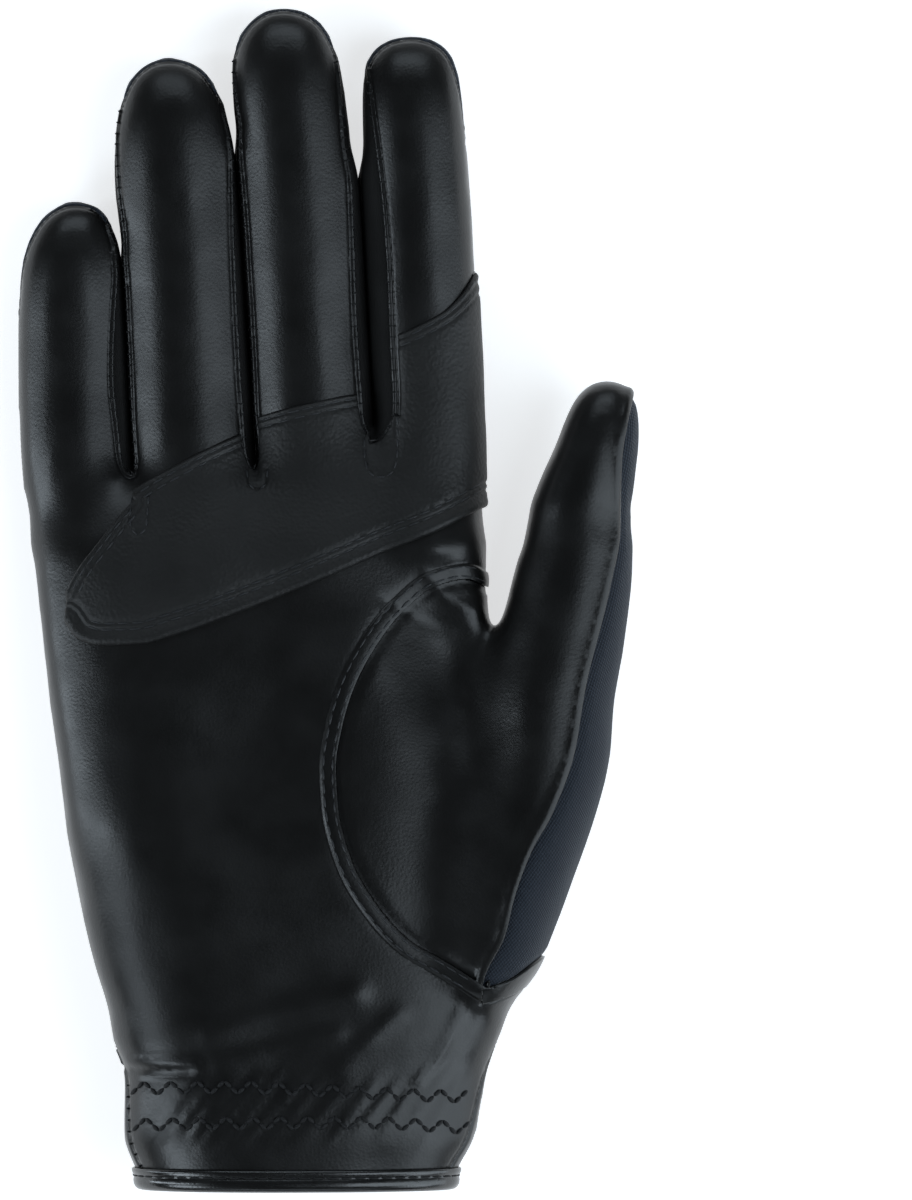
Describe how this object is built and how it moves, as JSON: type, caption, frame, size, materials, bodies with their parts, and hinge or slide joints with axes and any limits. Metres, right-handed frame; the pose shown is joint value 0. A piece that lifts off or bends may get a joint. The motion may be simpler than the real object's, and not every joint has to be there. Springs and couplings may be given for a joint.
{
  "type": "horse riding glove",
  "caption": "Right-hand leather riding glove, palm up and filled out, with a stretch cloth back, set-in thumb, rein patch and elastic cuff.",
  "frame": {"origin": "on the surface that the glove rests on, under the middle of the palm", "axes": "+Y from the cuff to the fingertips, +Z out of the palm, +X to the thumb"},
  "size_m": [0.129, 0.2458, 0.0362],
  "materials": {
    "leather": "satin black leather with a fine grain",
    "patch_leather": "matte black grip leather",
    "cloth": "dark navy stretch cloth with a fine weave",
    "binding_leather": "glossy black folded leather"
  },
  "bodies": {
    "root": {"palm": "leather", "back": "cloth", "thumb_front": "leather", "thumb_back": "cloth", "rein_patch": "patch_leather", "cuff_back": "leather", "cuff_band": "leather", "hem_binding": "binding_leather", "fourchette_little_ring": "leather", "fourchette_ring_middle": "leather", "fourchette_middle_index": "leather"}
  },
  "joints": []
}
